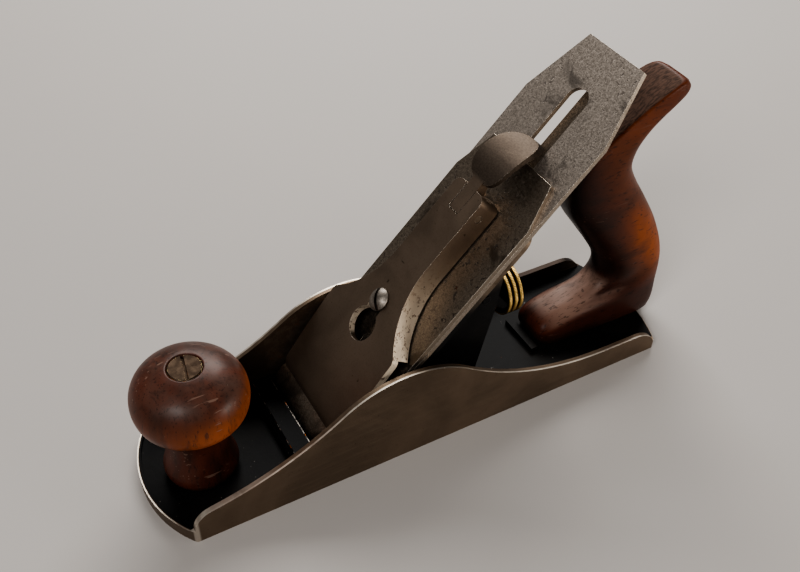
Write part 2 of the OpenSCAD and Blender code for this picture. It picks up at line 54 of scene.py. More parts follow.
# The casting and the bed
CHEEK_INSIDE = 27.75 * MM
RIB_TOP = 10 * MM
RIB_REAR = -56.1 * MM
TOE_CENTRE, TOE_RADIUS = -73.0 * MM, 48.54 * MM
HEEL_CENTRE, HEEL_RADIUS = 34.25 * MM, 78.75 * MM
BED_OUT = Vector((-1, 0, 1)).normalized()
NUT_AXIS_Z = 42 * MM
NUT_GROOVE, NUT_RIDGE = 11.0 * MM, 11.7 * MM
NUT_TEETH = 110.0
DIAGONAL = math.sqrt(0.5)
# X where the line of the bed meets the plane of the sole
BED_X = -55 * MM
# Head of the lever cap's screw, from the part's origin: up the bed, and square off the bed
CAP_SCREW_U = 69 * MM + BED_X * DIAGONAL
CAP_SCREW_SEAT = 15.9 * MM - BED_X * DIAGONAL
# X + Z where the cam's thumb pad begins
PAD_START = 127 * MM

# Handles
KNOB_X = -97 * MM
ROD_FOOT = Vector((107.5, 0, 2)) * MM
ROD_LEAN = math.radians(15)
ROD_TOP = 102.2 * MM
NUT_WELL_RADIUS = 6.75 * MM
NUT_WELL_CUT = 30 * MM

# Colours, linear
IRON_DARK = (0.13, 0.094, 0.066, 1)
IRON_MID = (0.24, 0.183, 0.135, 1)
IRON_WARM = (0.2, 0.144, 0.101, 1)
STEEL_BRIGHT = (0.8, 0.73, 0.64, 1)
STEEL_MID = (0.36, 0.33, 0.3, 1)
STEEL_DARK = (0.12, 0.103, 0.09, 1)
SHADED_WALL_STEEL = (0.27, 0.225, 0.18, 1)
IRON_PATINA = (0.68, 0.6, 0.53, 1)
IRON_PATINA_MID = (0.47, 0.405, 0.345, 1)
SMALL_LIGHT = (0.36, 0.3, 0.24, 1)
SMALL_MID = (0.22, 0.18, 0.14, 1)
CAP_IRON_MID = (0.22, 0.178, 0.14, 1)
CAP_IRON_DARK = (0.06, 0.045, 0.034, 1)
SCREW_LIGHT = (0.3, 0.27, 0.24, 1)
SCREW_MID = (0.2, 0.175, 0.15, 1)
SPRING_LIGHT = (0.14, 0.13, 0.12, 1)
SPRING_MID = (0.09, 0.085, 0.08, 1)
CAP_BROWN = (0.195, 0.146, 0.11, 1)
CAP_PALE = (0.25, 0.19, 0.144, 1)
CAP_WALL_LIT = (0.98, 0.84, 0.66, 1)
PAD_DARK = (0.085, 0.066, 0.052, 1)
PAD_PALE = (0.115, 0.09, 0.071, 1)
PIT = (0.03, 0.022, 0.018, 1)
RUST = (0.5, 0.15, 0.03, 1)
RUST_DARK = (0.1, 0.036, 0.016, 1)
JAPAN = (0.0035, 0.0035, 0.004, 1)
JAPAN_WORN = (0.009, 0.0075, 0.0065, 1)
BRASS = (0.85, 0.58, 0.2, 1)
BRASS_MID = (0.5, 0.33, 0.12, 1)
BRASS_DARK = (0.14, 0.085, 0.035, 1)
BRASS_DIRT = (0.05, 0.032, 0.015, 1)
BRASS_RUBBED = (0.75, 0.6, 0.33, 1)
OLD_BRASS = (0.075, 0.052, 0.036, 1)
OLD_BRASS_DARK = (0.056, 0.038, 0.027, 1)
DUST = (0.32, 0.29, 0.25, 1)
WOOD_BLACK = (0.009, 0.0045, 0.0035, 1)
WOOD_DARK = (0.032, 0.0115, 0.0075, 1)
WOOD_RED = (0.085, 0.021, 0.0105, 1)
WOOD_PAINTED_GLOW = (0.36, 0.085, 0.014, 1)
WOOD_SCUFF = (0.2, 0.12, 0.09, 1)
WOOD_HIGHLIGHT = (0.27, 0.17, 0.135, 1)
WOOD_HIGHLIGHT_DARK = (0.2, 0.115, 0.085, 1)
WOOD_SPECK = (0.45, 0.34, 0.26, 1)
WOOD_TOP = (0.12, 0.066, 0.046, 1)
WOOD_TOP_DARK = (0.05, 0.027, 0.019, 1)
FLOOR_DARK = (0.50, 0.475, 0.455, 1)
FLOOR_PALE = (0.53, 0.505, 0.485, 1)
SURROUND = (0.72, 0.69, 0.66, 1)


class Paint:
    """A material's node tree, with one short call for each kind of node."""

    def __init__(self, name):
        self.material = bpy.data.materials.new(name)
        self.material.use_nodes = True
        self.tree = self.material.node_tree
        self.tree.nodes.clear()
        self.place = self.node("ShaderNodeTexCoord").outputs["Object"]

    def node(self, kind, values=(), **settings):
        made = self.tree.nodes.new(kind)
        for key, value in settings.items():
            setattr(made, key, value)
        for key, value in dict(values).items():
            self.feed(made.inputs[key], value)
        return made

    def feed(self, socket, value):
        if isinstance(value, bpy.types.NodeSocket):
            self.tree.links.new(value, socket)
        elif value is not None:
            socket.default_value = value

    def stretched(self, scale, turn=(0, 0, 0)):
        """Place coordinates turned, then scaled per axis."""
        return self.node("ShaderNodeMapping", {
            "Vector": self.place, "Rotation": [math.radians(a) for a in turn],
            "Scale": scale}).outputs[0]

    def noise(self, scale, detail=4, rough=0.6, at=None, warp=0.0):
        return self.node("ShaderNodeTexNoise", {
            "Vector": at or self.place, "Scale": scale, "Detail": detail,
            "Roughness": rough, "Distortion": warp}).outputs["Fac"]

    def cells(self, scale):
        return self.node("ShaderNodeTexVoronoi", {
            "Vector": self.place, "Scale": scale}).outputs["Distance"]

    def math(self, operation, a, b=None):
        made = self.node("ShaderNodeMath", operation=operation)
        self.feed(made.inputs[0], a)
        self.feed(made.inputs[1], b)
        return made.outputs[0]

    def span(self, value, low, high, out_low=0.0, out_high=1.0):
        """value mapped smoothly from low..high to out_low..out_high."""
        return self.node("ShaderNodeMapRange", {
            "Value": value, "From Min": low, "From Max": high,
            "To Min": out_low, "To Max": out_high}, interpolation_type="SMOOTHSTEP").outputs[0]

    def mix(self, factor, a, b):
        made = self.node("ShaderNodeMix", data_type="RGBA")
        self.feed(made.inputs["Factor"], factor)
        self.feed(made.inputs[6], a)
        self.feed(made.inputs[7], b)
        return made.outputs[2]

    def axis(self, name):
        return self.node("ShaderNodeSeparateXYZ", {"Vector": self.place}).outputs[name]

    def facing(self, direction):
        """How far the surface's own normal points along direction, -1 to 1."""
        normal = self.node("ShaderNodeNewGeometry").outputs["Normal"]
        return self.node("ShaderNodeVectorMath", {0: normal, 1: direction},
                         operation="DOT_PRODUCT").outputs["Value"]

    def product(self, *values):
        result = values[0]
        for value in values[1:]:
            result = self.math("MULTIPLY", result, value)
        return result

    def radius(self, centre_x):
        """Distance from an upright axis on the centre line."""
        flat = self.node("ShaderNodeVectorMath", {0: self.place, 1: (1, 1, 0)},
                         operation="MULTIPLY")
        return self.node("ShaderNodeVectorMath", {0: flat.outputs[0], 1: (centre_x, 0, 0)},
                         operation="DISTANCE").outputs["Value"]

    def scratches(self, angle):
        """Mask of sparse thin scratches that run level at this angle round the upright axis."""
        lines = self.noise(1.0, 1, 0.4, self.stretched((45, 900, 900), (0, 0, angle)))
        return self.span(lines, 0.7, 0.73)

    def bump(self, height, distance, strength):
        return self.node("ShaderNodeBump", {
            "Height": height, "Distance": distance, "Strength": strength}).outputs[0]

    def finish(self, color, metallic, roughness, normal=None, **constants):
        shader = self.node("ShaderNodeBsdfPrincipled", {
            "Base Color": color, "Metallic": metallic, "Roughness": roughness,
            "Normal": normal, **{k.replace("_", " "): v for k, v in constants.items()}})
        out = self.node("ShaderNodeOutputMaterial")
        self.tree.links.new(shader.outputs[0], out.inputs["Surface"])
        return self.material


# ---- materials ----
def casting_paint():
    """Black japanning inside; ground iron on the cheeks' outsides, the rim and the sole, with a
    line worn bright along the outer arris of the cheeks and round the toe, up-facing iron painted
    lighter as painted light, a painted highlight down the toe's corner and painted shade on the far heel."""
    p = Paint("casting")
    side = p.math("ABSOLUTE", p.axis("Y"))
    height = p.axis("Z")
    along = p.axis("X")
    upward = p.span(p.facing((0, 0, 1)), 0.2, 0.6)
    grain = p.noise(900, 3, 0.7)
    lumps = p.noise(150, 4, 0.62)
    clouds = p.noise(26, 4, 0.6, warp=0.6)
    toe = p.math("MULTIPLY", p.span(along, -108 * MM, -106 * MM, 1, 0), p.radius(TOE_CENTRE))
    heel = p.math("MULTIPLY", p.span(along, 100 * MM, 101 * MM), p.radius(HEEL_CENTRE))
    # Ground iron
    streaks = p.noise(1.0, 4, 0.7, p.stretched((45, 600, 600)))
    iron = p.mix(p.span(clouds, 0.3, 0.72), IRON_DARK, IRON_WARM)
    iron = p.mix(p.span(streaks, 0.42, 0.75, 0, 0.35), iron, IRON_MID)
    iron = p.mix(p.span(p.noise(700, 4, 0.75), 0.6, 0.74, 0, 0.6), iron, PIT)
    arris = p.span(side, CHEEK_INSIDE + 1.5 * MM, CHEEK_INSIDE + 1.8 * MM)
    near_toe = p.product(p.span(side, CHEEK_INSIDE - 0.1 * MM, CHEEK_INSIDE + 0.2 * MM),
                         p.span(along, -100 * MM, -70 * MM, 0.85, 0))
    toe_line = p.product(p.span(toe, TOE_RADIUS - 0.65 * MM, TOE_RADIUS - 0.4 * MM),
                         p.span(height, 4.9 * MM, 5.1 * MM))
    # The bright lines stop short of the far heel, which is left dark in painted shade
    lines_off_far_heel = p.math("MAXIMUM", p.span(along, 45 * MM, 62 * MM, 1, 0),
                     p.span(p.axis("Y"), -2 * MM, 2 * MM, 1, 0))
    # A painted highlight down the rounded vertical corner at the toe
    toe_corner_highlight = p.product(p.span(side, CHEEK_INSIDE + 1.2 * MM, CHEEK_INSIDE + 1.9 * MM),
                       p.span(along, -110 * MM, -109 * MM, 0.6, 0))
    lines = p.math("MAXIMUM", p.math("MAXIMUM", arris, near_toe), toe_line)
    polished = p.product(lines, p.span(p.facing((0, 0, 1)), 0.1, 0.4), lines_off_far_heel,
                         p.span(p.noise(120, 3), 0.3, 0.5, 0.45, 1))
    polished = p.math("MAXIMUM", polished, toe_corner_highlight)
    # Up-facing ground iron painted lighter: painted light from above
    iron = p.mix(p.math("MULTIPLY", upward, 0.35), iron, IRON_MID)
    # The far heel's up-facing iron painted dark: painted shade
    far_heel_shade = p.product(p.span(p.axis("Y"), 20 * MM, 25 * MM),
                         p.span(along, 25 * MM, 45 * MM), upward)
    iron = p.mix(far_heel_shade, iron, PIT)
    iron = p.mix(polished, iron, STEEL_BRIGHT)
    # Japanning with a few chips, dust and worn edges on the rib
    chips = p.product(p.span(p.noise(330, 3, 0.8), 0.7, 0.72), p.span(p.noise(45, 2), 0.54, 0.6))
    rib_edge = p.product(p.span(height, RIB_TOP - 0.35 * MM, RIB_TOP - 0.15 * MM),
                         p.span(height, RIB_TOP - 0.05 * MM, RIB_TOP - 0.01 * MM, 1, 0),
                         p.span(p.noise(300, 3, 0.7), 0.5, 0.56))
    rib_rear = p.product(p.span(along, RIB_REAR - 0.5 * MM, RIB_REAR - 0.3 * MM),
                         p.span(height, RIB_TOP - 0.4 * MM, RIB_TOP - 0.2 * MM),
                         p.span(p.noise(260, 4, 0.75), 0.46, 0.58, 0, 0.75))
    dust = p.product(p.span(p.cells(420), 0.0, 0.1, 1, 0), p.span(p.noise(60, 2), 0.56, 0.62))
    black = p.mix(p.span(clouds, 0.45, 0.8), JAPAN, JAPAN_WORN)
    black = p.mix(p.math("MULTIPLY", dust, 0.7), black, DUST)
    bare = p.math("MAXIMUM", p.math("MAXIMUM", chips, rib_edge), rib_rear)
    black = p.mix(bare, black, p.mix(p.span(p.noise(240, 2), 0.58, 0.62), STEEL_MID, RUST))
    outside = p.span(side, CHEEK_INSIDE - 0.15 * MM, CHEEK_INSIDE + 0.05 * MM)
    for rim in (p.span(height, 0.2 * MM, 0.35 * MM, 1, 0),
                p.span(toe, TOE_RADIUS - 0.9 * MM, TOE_RADIUS - 0.6 * MM),
                p.span(heel, HEEL_RADIUS - 0.3 * MM, HEEL_RADIUS - 0.15 * MM)):
        outside = p.math("MAXIMUM", outside, rim)
    inside = p.math("SUBTRACT", 1.0, outside)
    rough = p.math("ADD", p.product(outside, p.span(streaks, 0.3, 0.7, 0.4, 0.52)),
                   p.math("MULTIPLY", inside, 0.42))
    relief = p.math("ADD", p.product(inside, p.math("ADD", lumps, p.math("MULTIPLY", grain, 0.15))),
                    p.product(outside, streaks, 0.06))
    metal = p.math("MAXIMUM", p.math("MULTIPLY", outside, 0.95), p.math("MULTIPLY", bare, 0.8))
    return p.finish(p.mix(outside, black, iron), metal, rough, p.bump(relief, 0.22 * MM, 0.5),
                    Specular_IOR_Level=0.06)


def japanned_paint():
    """Black japanned iron of the frog and the Y lever, bare and brown on the bed's face and rim."""
    p = Paint("japanned_iron")
    lumps = p.noise(160, 4, 0.62)
    chips = p.product(p.span(p.noise(380, 3, 0.8), 0.7, 0.72), p.span(p.noise(60, 2), 0.52, 0.6))
    black = p.mix(p.span(p.noise(30, 3), 0.45, 0.8), JAPAN, JAPAN_WORN)
    face = p.span(p.facing(BED_OUT), 0.96, 0.99)
    high = p.product(p.span(p.axis("Z"), 58 * MM, 72 * MM), p.span(lumps, 0.3, 0.5, 0.6, 1))
    bare = p.math("MAXIMUM", p.math("MAXIMUM", face, high), chips)
    color = p.mix(bare, black, p.mix(p.span(lumps, 0.35, 0.65), IRON_DARK, IRON_MID))
    return p.finish(color, bare, p.span(lumps, 0.3, 0.7, 0.4, 0.52), p.bump(lumps, 0.25 * MM, 0.5),
                    Specular_IOR_Level=0.14)


def worn_edge_paint():
    """Bright metal where handling has worn an edge."""
    p = Paint("worn_edge")
    wear = p.noise(330, 4, 0.7)
    color = p.mix(p.span(wear, 0.28, 0.52), IRON_MID, STEEL_BRIGHT)
    return p.finish(color, 1.0, p.span(wear, 0.3, 0.7, 0.42, 0.28),
                    p.bump(p.noise(1500, 2), 0.02 * MM, 0.4))


def screw_slot_shade(p):
    """The slot in the head of the lever cap's screw, painted dark as painted shade, 45 degrees to the
    bed's run.
    """
    up_bed = p.math("MULTIPLY", p.math("ADD", p.axis("X"), p.axis("Z")), DIAGONAL)
    aside = p.math("ADD", p.math("SUBTRACT", p.axis("Y"), up_bed), CAP_SCREW_U)
    across = p.math("MULTIPLY", aside, DIAGONAL)
    over_bed = p.math("MULTIPLY", p.math("SUBTRACT", p.axis("Z"), p.axis("X")), DIAGONAL)
    return p.product(p.span(p.math("ABSOLUTE", across), 0.55 * MM, 0.68 * MM, 0.9, 0),
                     p.span(over_bed, CAP_SCREW_SEAT, CAP_SCREW_SEAT + 0.1 * MM))


def steel_paint(name, light, mid, dark, pits, stain, rough, speckle=0.6, slot=None):
    """Old steel: fine speckled patina, small pits, dark stains, a few rust spots, and side walls painted
    darker, partly dark patina and partly painted shade.
    """
    p = Paint(name)
    fine = p.noise(1900, 3, 0.8)
    mottle = p.noise(900, 5, 0.85, warp=0.3)
    cloud = p.noise(42, 4, 0.6, warp=0.8)
    color = p.mix(p.span(mottle, 0.36, 0.6), mid, light)
    color = p.mix(p.span(fine, 0.44, 0.62, 0, speckle), color, dark)
    stains = p.product(p.span(cloud, 0.55, 0.66, 0, stain), p.span(mottle, 0.3, 0.55, 0.55, 1))
    color = p.mix(stains, color, dark)
    pit = p.product(p.span(p.noise(520, 3, 0.7), 0.57, 0.62),
                    p.span(p.noise(70, 3), 0.42, 0.58, 0, pits))
    color = p.mix(pit, color, PIT)
    # Side walls painted darker: painted shade, partly dark patina
    wall = p.span(p.math("ABSOLUTE", p.facing((0, 1, 0))), 0.6, 0.95, 0, 0.7)
    color = p.mix(wall, color, SHADED_WALL_STEEL)
    # Painted shade in a slot, when one is given
    if slot:
        color = p.mix(slot(p), color, PIT)
    spots = p.product(p.span(p.noise(260, 2), 0.68, 0.73),
                      p.span(p.noise(50, 2), 0.5, 0.62, 0, 0.8))
    color = p.mix(spots, color, RUST_DARK)
    relief = p.math("SUBTRACT", p.math("MULTIPLY", fine, 0.3), pit)
    roughness = p.math("ADD", p.span(mottle, 0.35, 0.7, rough, rough + 0.1),
                       p.math("MULTIPLY", pit, 0.25))
    return p.finish(color, p.span(pit, 0, 1, 1.0, 0.6), roughness, p.bump(relief, 0.05 * MM, 0.6))


def cap_paint():
    """Smooth brown-grey iron of the lever cap and its cam, with pale gold painted light on the cap's
    lower side walls, which are rust-specked, darker on the thumb pad."""
    p = Paint("lever_cap_iron")
    cloud = p.noise(30, 4, 0.6, warp=0.5)
    fine = p.noise(1300, 4, 0.75)
    color = p.mix(p.span(cloud, 0.3, 0.72), CAP_BROWN, CAP_PALE)
    color = p.mix(p.span(fine, 0.48, 0.7, 0, 0.35), color, IRON_DARK)
    # The lower side walls painted bright gold: painted light from the low lamp
    wall = p.span(p.math("ABSOLUTE", p.facing((0, 1, 0))), 0.25, 0.65)
    low = p.span(p.axis("Z"), 46 * MM, 84 * MM, 1, 0)
    bright = p.product(wall, low, p.span(p.noise(90, 3), 0.3, 0.6, 0.7, 1))
    color = p.mix(p.math("MULTIPLY", bright, 0.95), color, CAP_WALL_LIT)
    specks = p.product(p.span(p.noise(620, 3, 0.7), 0.57, 0.61), bright)
    color = p.mix(specks, color, RUST_DARK)
    flecks = p.product(p.span(p.noise(300, 2), 0.72, 0.75), 0.6)
    color = p.mix(flecks, color, PIT)
    pad = p.span(p.math("ADD", p.axis("X"), p.axis("Z")), PAD_START, PAD_START + 3 * MM)
    color = p.mix(pad, color, p.mix(p.span(fine, 0.4, 0.6), PAD_DARK, PAD_PALE))
    roughness = p.math("ADD", p.span(cloud, 0.3, 0.7, 0.42, 0.52), p.math("MULTIPLY", pad, 0.1))
    return p.finish(color, p.span(bright, 0, 1, 1, 0.15), roughness,
                    p.bump(p.math("SUBTRACT", fine, specks), 0.03 * MM, 0.5))


def depth_brass_paint():
    """Yellow brass with fine knurling, dirty in the grooves between its three ridges."""
    p = Paint("depth_brass")
    cloud = p.noise(260, 4, 0.7)
    color = p.mix(p.span(cloud, 0.42, 0.7, 0, 0.7), BRASS, BRASS_MID)
    height = p.math("SUBTRACT", p.axis("Z"), NUT_AXIS_Z)
    teeth = p.math("SINE", p.math("MULTIPLY", p.math("ARCTAN2", height, p.axis("Y")), NUT_TEETH))
    color = p.mix(p.span(teeth, -1, 0.2, 0.6, 0), color, BRASS_DARK)
    flat = p.node("ShaderNodeVectorMath", {0: p.place, 1: (0, 1, 1)}, operation="MULTIPLY")
    from_axis = p.node("ShaderNodeVectorMath", {0: flat.outputs[0], 1: (0, 0, NUT_AXIS_Z)},
                       operation="DISTANCE").outputs["Value"]
    dirt = p.span(from_axis, NUT_GROOVE, NUT_RIDGE, 1, 0)
    color = p.mix(dirt, color, BRASS_DIRT)
    relief = p.math("ADD", teeth, p.math("MULTIPLY", p.noise(900, 3), 0.3))
    return p.finish(color, 1.0, p.span(dirt, 0, 1, 0.28, 0.55), p.bump(relief, 0.1 * MM, 0.6))


def rusty_brass_paint():
    """Dark old brass of the handles' nuts, with rust in the slot."""
    p = Paint("nut_brass")
    cloud = p.noise(330, 4, 0.7)
    color = p.mix(p.span(cloud, 0.36, 0.66), OLD_BRASS, OLD_BRASS_DARK)
    up = p.span(p.facing((0, 0, 1)), 0.5, 0.8)
    rust = p.product(p.span(p.noise(240, 3), 0.5, 0.6), p.math("SUBTRACT", 1.0, up))
    color = p.mix(rust, color, RUST)
    return p.finish(color, p.span(rust, 0, 1, 1, 0.1), p.span(cloud, 0.3, 0.7, 0.5, 0.66),
                    p.bump(p.noise(1200, 2), 0.04 * MM, 0.4))


def brass_rim_paint():
    """The nuts' edges, where the brass is still yellow."""
    p = Paint("brass_rim")
    wear = p.noise(400, 3, 0.7)
    color = p.mix(p.span(wear, 0.35, 0.6), BRASS_MID, BRASS_RUBBED)
    return p.finish(color, 1.0, p.span(wear, 0.3, 0.7, 0.42, 0.28),
                    p.bump(wear, 0.03 * MM, 0.4))


def wood_paint(name, grain, painted_glow, painted_highlight, scuffs, shine, painted_shade=None, top=None):
    """Old rosewood under worn varnish: soft figure, dark pores along the grain and scratches, with three
    masks of painted light: orange painted light from the low lamp, a pale painted highlight, and
    black painted shade. top(p) marks a dull brown face."""
    p = Paint(name)
    figure = p.noise(1.0, 4, 0.55, p.stretched([g * 0.35 for g in grain]), warp=0.9)
    veins = p.noise(1.0, 5, 0.65, p.stretched(grain), warp=0.5)
    pores = p.noise(1.0, 2, 0.6, p.stretched([g * 6 for g in grain]))
    color = p.mix(p.span(figure, 0.3, 0.7), WOOD_DARK, WOOD_RED)
    # Orange painted light, strongest where the low lamp falls
    color = p.mix(p.product(painted_glow(p), p.span(figure, 0.2, 0.6, 0.55, 1)), color, WOOD_PAINTED_GLOW)
    # Pale painted highlight: a sheen on the knob's top, a highlight on the tote's foot
    color = p.mix(painted_highlight(p), color, p.mix(p.span(figure, 0.3, 0.7), WOOD_HIGHLIGHT, WOOD_HIGHLIGHT_DARK))
    # Black painted shade
    if painted_shade:
        color = p.mix(painted_shade(p), color, WOOD_BLACK)
    color = p.mix(p.span(veins, 0.52, 0.7, 0, 0.5), color, WOOD_BLACK)
    color = p.mix(p.span(pores, 0.58, 0.68, 0, 0.6), color, WOOD_BLACK)
    marks = p.product(p.math("MAXIMUM", p.scratches(15), p.scratches(70)),
                      p.span(p.noise(50, 2), 0.5, 0.62))
    color = p.mix(p.math("MULTIPLY", marks, scuffs), color, WOOD_SCUFF)
    dents = p.span(p.noise(170, 2), 0.68, 0.73)
    color = p.mix(p.math("MULTIPLY", dents, 0.5), color, WOOD_BLACK)
    specks = p.product(p.span(p.cells(260), 0.0, 0.06, 1, 0), p.span(p.noise(55, 2), 0.6, 0.66))
    color = p.mix(p.math("MULTIPLY", specks, 0.5), color, WOOD_SPECK)
    roughness = p.span(p.noise(70, 3), 0.3, 0.7, 0.32, 0.44)
    if top:
        flat = top(p)
        color = p.mix(flat, color, p.mix(p.span(pores, 0.4, 0.65), WOOD_TOP, WOOD_TOP_DARK))
        roughness = p.math("MAXIMUM", roughness, p.math("MULTIPLY", flat, 0.75))
    relief = p.math("SUBTRACT", p.math("ADD", p.math("MULTIPLY", p.noise(80, 3, 0.5), 2.0),
                                       p.math("MULTIPLY", pores, -0.2)),
                    p.math("ADD", p.math("MULTIPLY", marks, 0.25), p.math("MULTIPLY", dents, 0.6)))
    return p.finish(color, 0.0, roughness, p.bump(relief, 0.16 * MM, 0.6),
                    Specular_IOR_Level=shine)


def knob_painted_glow(p):
    """Painted light: the ball's lower half painted glowing orange, most towards the heel and near side."""
    low = p.product(p.span(p.axis("Z"), 30 * MM, 36 * MM),
                    p.span(p.axis("Z"), 42 * MM, 57 * MM, 1, 0))
    towards = p.math("SUBTRACT", p.axis("X"), p.math("MULTIPLY", p.axis("Y"), 0.5))
    return p.math("MULTIPLY", low, p.span(towards, KNOB_X - 16 * MM, KNOB_X + 24 * MM, 0.3, 1))


def knob_painted_highlight(p):
    """A painted sheen: the top of the ball painted pale."""
    return p.product(p.span(p.axis("Z"), 49 * MM, 58 * MM),
                     p.span(p.noise(60, 3), 0.35, 0.65, 0.03, 0.2))


def tote_rearward(p):
    """X measured square to the leaning grip, so that it rises from its front to its rear."""
    return p.math("ADD", p.axis("X"), p.math("MULTIPLY", p.axis("Z"), 0.5))


def tote_painted_glow(p):
    """Painted light: the rear of the lower grip painted glowing orange, the neck under the horn a little.
    """
    rear = tote_rearward(p)
    grip = p.product(p.span(rear, 115 * MM, 138 * MM), p.span(p.axis("Z"), 16 * MM, 34 * MM),
                     p.span(p.axis("Z"), 50 * MM, 78 * MM, 1, 0.3),
                     p.span(p.facing((1, 0, 0)), 0.5, 1, 1, 0.35))
    return p.math("MULTIPLY", grip, p.span(p.noise(34, 3, 0.5, warp=1.0), 0.3, 0.6, 0.45, 0.9))


def tote_painted_shade(p):
    """Painted shade: the front of the grip is painted black, and the sides of the foot painted darker."""
    grip = p.product(p.span(tote_rearward(p), 106 * MM, 130 * MM, 0.93, 0),
                     p.span(p.axis("Z"), 24 * MM, 34 * MM))
    foot = p.product(p.span(p.facing((0, 0, 1)), 0.1, 0.5, 0.6, 0),
                     p.span(p.axis("Z"), 16 * MM, 26 * MM, 1, 0))
    return p.math("MAXIMUM", grip, foot)


def tote_painted_highlight(p):
    """A painted highlight: the upper side of the foot painted pale."""
    return p.product(p.span(p.axis("Z"), 9 * MM, 15 * MM), p.span(p.axis("Z"), 27 * MM, 36 * MM, 1, 0),
                     p.span(p.axis("X"), 60 * MM, 68 * MM), p.span(p.facing((-0.3, -0.2, 0.93)), 0.5, 0.9),
                     p.span(p.noise(40, 2), 0.3, 0.6, 0.6, 1))


def tote_top(p):
    """The crisp flat top of the horn."""
    return p.product(p.span(p.facing((-0.5, 0, 0.866)), 0.86, 0.93),
                     p.span(p.axis("Z"), 92 * MM, 98 * MM))


# ---- shapes ----
def soften(node, material, edge, width, segments=2):
    """Rounds the sharp edges of a CAD node by width in mm and gives it its finish; edge is the
    finish of the rounded edges."""
    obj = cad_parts[node]
    obj.data.materials.clear()
    obj.data.materials.append(material)
    obj.data.materials.append(edge)
    weld = obj.modifiers.new("weld", "WELD")
    weld.merge_threshold = 0.002 * MM
    flat = obj.modifiers.new("flat", "DECIMATE")
    flat.decimate_type = "DISSOLVE"
    flat.angle_limit = math.radians(0.3)
    bevel = obj.modifiers.new("bevel", "BEVEL")
    bevel.width = width * MM
    bevel.segments = segments
    bevel.limit_method = "ANGLE"
    bevel.angle_limit = math.radians(32)
    bevel.material = 1
    bevel.miter_outer = "MITER_ARC"
    shade = obj.modifiers.new("shade", "WEIGHTED_NORMAL")
    shade.keep_sharp = False
    shade.weight = 60
    for polygon in obj.data.polygons:
        polygon.use_smooth = True


def spline(points, count):
    """count points evenly spread along a smooth curve through points, which may hold any numbers."""
    ends = [[2 * a - b for a, b in zip(points[0], points[1])]] + list(points)
    ends.append([2 * a - b for a, b in zip(points[-1], points[-2])])
    made = []
    for k in range(count):
        t = k / (count - 1) * (len(points) - 1)
        i = min(int(t), len(points) - 2)
        t -= i
        a, b, c, d = ends[i:i + 4]
        made.append([0.5 * (2 * q + (r - o) * t + (2 * o - 5 * q + 4 * r - s) * t * t
                            + (3 * q - o - 3 * r + s) * t ** 3)
                     for o, q, r, s in zip(a, b, c, d)])
    return made


def new_piece(name, mesh, material, body, stands_for):
    """A rosewood piece made from a mesh, which rides on a body and takes the place of a node."""
    mesh.to_mesh(data := bpy.data.meshes.new(name))
    mesh.free()
    for polygon in data.polygons:
        polygon.use_smooth = True
    data.materials.append(material)
    obj = bpy.data.objects.new(name, data)
    bpy.context.scene.collection.objects.link(obj)
    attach(obj, body)
    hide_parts(stands_for)
    return obj


def rings_mesh(rings):
    """A tube of quads through rings of points, closed at both ends."""
    mesh = bmesh.new()
    rows = [[mesh.verts.new(p) for p in ring] for ring in rings]
    count = len(rows[0])
    for low, high in zip(rows, rows[1:]):
        for i in range(count):
            j = (i + 1) % count
            mesh.faces.new((low[i], low[j], high[j], high[i]))
    mesh.faces.new(reversed(rows[0]))
    mesh.faces.new(rows[-1])
    mesh.normal_update()
    return mesh


def knob():
    """The turned knob, with a well for its nut. Points are radius and height in mm."""
    profile = spline([
        (13.4, 5.6), (14.1, 6.4), (14.8, 8.4), (14.7, 10.6), (13.8, 13.8), (12.6, 18.5), (12.2, 23),
        (12.4, 28), (13.4, 32.4), (15.8, 35.8), (18.9, 37.6), (21.2, 39.9), (22.2, 43), (22.45, 46.3),
        (21.9, 50.2), (20.1, 54), (17.2, 57.1), (13.2, 59.5), (9.6, 60.8), (7.2, 61.3)], 96)
    well = [(6.95, 61.2), (6.75, 60.9), (6.72, 57.6), (3.2, 57.55)]
    sides = 128
    rings = []
    for r, z in profile + well:
        rings.append([Vector((
            KNOB_X + r * MM * math.cos(2 * math.pi * i / sides),
            r * MM * math.sin(2 * math.pi * i / sides),
            z * MM)) for i in range(sides)])
    wood = wood_paint("knob_rosewood", grain=(190, 190, 40), painted_glow=knob_painted_glow, painted_highlight=knob_painted_highlight,
                      scuffs=0.8, shine=0.26)
    new_piece("turned_knob", rings_mesh(rings), wood, "body", "knob")


def section(front, rear, front_half, rear_half, front_power, rear_power, count=72):
    """Closed loop between a front and a rear point: each half is a rounded box whose corners get
    crisper as its power rises, and its width passes from the rear's to the front's."""
    centre = (front + rear) / 2
    reach = (front - rear) / 2
    loop = []
    for i in range(count):
        angle = 2 * math.pi * i / count
        c, s = math.cos(angle), math.sin(angle)
        power = front_power if c > 0 else rear_power
        scale = (abs(c) ** power + abs(s) ** power) ** (-1 / power)
        t = min(max(c * scale + 0.6, 0), 1)
        half = rear_half + (front_half - rear_half) * t * t * (3 - 2 * t)
        loop.append(centre + reach * c * scale + Vector((0, half * s * scale, 0)))
    return loop


